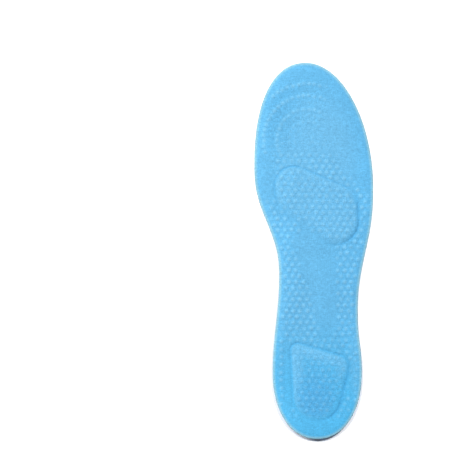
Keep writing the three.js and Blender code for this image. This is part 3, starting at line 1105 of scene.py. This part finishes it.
def moulded_gel(name, deep, thin, roughness):
    """Glossy gel: deep where it is thick, lighter and greener in the thin floors of its pockets."""
    material, tree, shader = new_finish(name)
    place = add_node(tree, "ShaderNodeTexCoord").outputs["Object"]
    cloud = noise(tree, place, 45, 3, 0.5)
    fine = noise(tree, place, 700, 3, 0.6)
    colour = blended(tree, scaled(tree, mark(tree, "hollow"), 0.0, 1.2, 0.0, 0.8), deep, thin)
    colour = blended(tree, scaled(tree, cloud, 0.35, 0.65, 0.0, 0.3), colour, thin)
    tree.links.new(colour, shader.inputs["Base Color"])
    gloss = scaled(tree, fine, 0.3, 0.7, roughness, roughness + 0.12)
    tree.links.new(gloss, shader.inputs["Roughness"])
    normal = bumped(tree, cloud, 0.0006, 0.35)
    tree.links.new(bumped(tree, fine, 0.00006, 0.4, normal), shader.inputs["Normal"])
    shader.inputs["Subsurface Weight"].default_value = 0.35
    shader.inputs["Subsurface Radius"].default_value = (0.0006, 0.0018, 0.004)
    shader.inputs["Subsurface Scale"].default_value = 1.0
    shader.inputs["IOR"].default_value = 1.46
    shader.inputs["Coat Weight"].default_value = 0.25
    shader.inputs["Coat Roughness"].default_value = 0.15
    return material


def milky_film():
    """Hot-melt film: milky, slightly uneven."""
    material, tree, shader = new_finish("milky_film")
    place = add_node(tree, "ShaderNodeTexCoord").outputs["Object"]
    cloud = noise(tree, place, 180, 3, 0.6)
    colour = blended(tree, scaled(tree, cloud, 0.3, 0.7, 0, 1), FILM_SHADE, FILM_LIGHT)
    tree.links.new(colour, shader.inputs["Base Color"])
    tree.links.new(scaled(tree, cloud, 0.3, 0.7, 0.4, 0.6), shader.inputs["Roughness"])
    tree.links.new(bumped(tree, cloud, 0.0001, 0.4), shader.inputs["Normal"])
    return material


def pale_floor():
    """The matte white floor that the insole lies on."""
    material, _, shader = new_finish("pale_floor")
    shader.inputs["Base Color"].default_value = FLOOR_WHITE
    shader.inputs["Roughness"].default_value = 0.9
    shader.inputs["Specular IOR Level"].default_value = 0.0
    return material


# ---------------------------------------------------------------- the insole

def dress(piece, finish, slot, *nodes):
    """Gives a piece its finish and body, and hides the solids it replaces. The slot is not used."""
    piece.data.materials.clear()
    piece.data.materials.append(finish)
    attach(piece, "root")
    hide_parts(*nodes)


cloth = make_cloth()
film = make_film()
gel_bed, ball_cushion, heel_cushion = make_gel()
finish_shape(cloth, 50)
for piece in (film, gel_bed, ball_cushion, heel_cushion):
    finish_shape(piece, 40)

gel_blue = moulded_gel("royal_gel", ROYAL_DEEP, ROYAL_THIN, 0.16)
soft_blue = moulded_gel("soft_gel", SOFT_DEEP, SOFT_THIN, 0.2)
dress(cloth, brushed_cloth(), "cloth", "top_cloth")
dress(film, milky_film(), "bond_film", "adhesive_film")
dress(gel_bed, gel_blue, "gel", "gel_base")
dress(ball_cushion, soft_blue, "soft_gel", "ball_pad")
dress(heel_cushion, soft_blue, "soft_gel", "heel_pad")

# ---------------------------------------------------------------- camera, floor and light

LENS = 200
SENSOR = 36
FRAME_WIDTH = 0.334  # what the picture is across at the insole
BESIDE = (-0.066, 0.019)  # the camera's axis, from the insole's middle
FLOOR_SIZE = 8
FLOOR_GAP = 0.0002
WALL_LIGHT = 0.9
CEILING_LIGHT = 0.1
LIGHT_FADE = (0.06, 0.2)  # heights, as shares, between which the walls' light fades


def add_camera():
    """A long lens straight above, beside the insole's middle."""
    data = bpy.data.cameras.new("camera")
    data.lens = LENS
    data.sensor_width = SENSOR
    data.clip_end = 20
    camera = bpy.data.objects.new("camera", data)
    height = FRAME_WIDTH * LENS / SENSOR + CAD_BOX[1][2] / 2
    camera.location = (BESIDE[0], BESIDE[1], height)
    bpy.context.collection.objects.link(camera)
    bpy.context.scene.camera = camera


def add_softbox(name, place, size, power):
    """A square soft light that faces the insole's middle."""
    data = bpy.data.lights.new(name, "AREA")
    data.shape = "SQUARE"
    data.size = size
    data.energy = power
    lamp = bpy.data.objects.new(name, data)
    lamp.location = place
    x, y, z = place
    tilt = math.acos(z / np.linalg.norm(place))
    lamp.rotation_euler = (tilt, 0, math.atan2(-y, -x) - math.pi / 2)
    bpy.context.collection.objects.link(lamp)


def add_floor():
    """A floor just below the insole, which isn't part of it."""
    bpy.ops.mesh.primitive_plane_add(size=FLOOR_SIZE, location=(0, 0, CAD_BOX[0][2] - FLOOR_GAP))
    floor = bpy.context.active_object
    floor.name = "floor"
    floor.data.materials.append(pale_floor())


def light_world():
    """A white studio: bright walls low down, and a dim ceiling."""
    world = bpy.data.worlds.new("studio")
    world.use_nodes = True
    tree = world.node_tree
    background = tree.nodes["Background"]
    place = add_node(tree, "ShaderNodeTexCoord").outputs["Generated"]
    height = add_node(tree, "ShaderNodeSeparateXYZ", {"Vector": place}).outputs["Z"]
    light = scaled(tree, height, *LIGHT_FADE, WALL_LIGHT, CEILING_LIGHT)
    tree.links.new(light, background.inputs["Strength"])
    background.inputs["Color"].default_value = (1, 1, 1, 1)
    bpy.context.scene.world = world


add_camera()
add_floor()
light_world()
add_softbox("overhead_inner", (-0.38, 0.60, 2.05), size=0.3, power=25)
add_softbox("overhead_outer", (0.40, 0.60, 2.05), size=0.3, power=38)
add_softbox("side", (-1.36, 0.63, 1.4), size=0.5, power=23)
bpy.context.scene.view_settings.view_transform = "Standard"
bpy.context.scene.view_settings.look = "None"
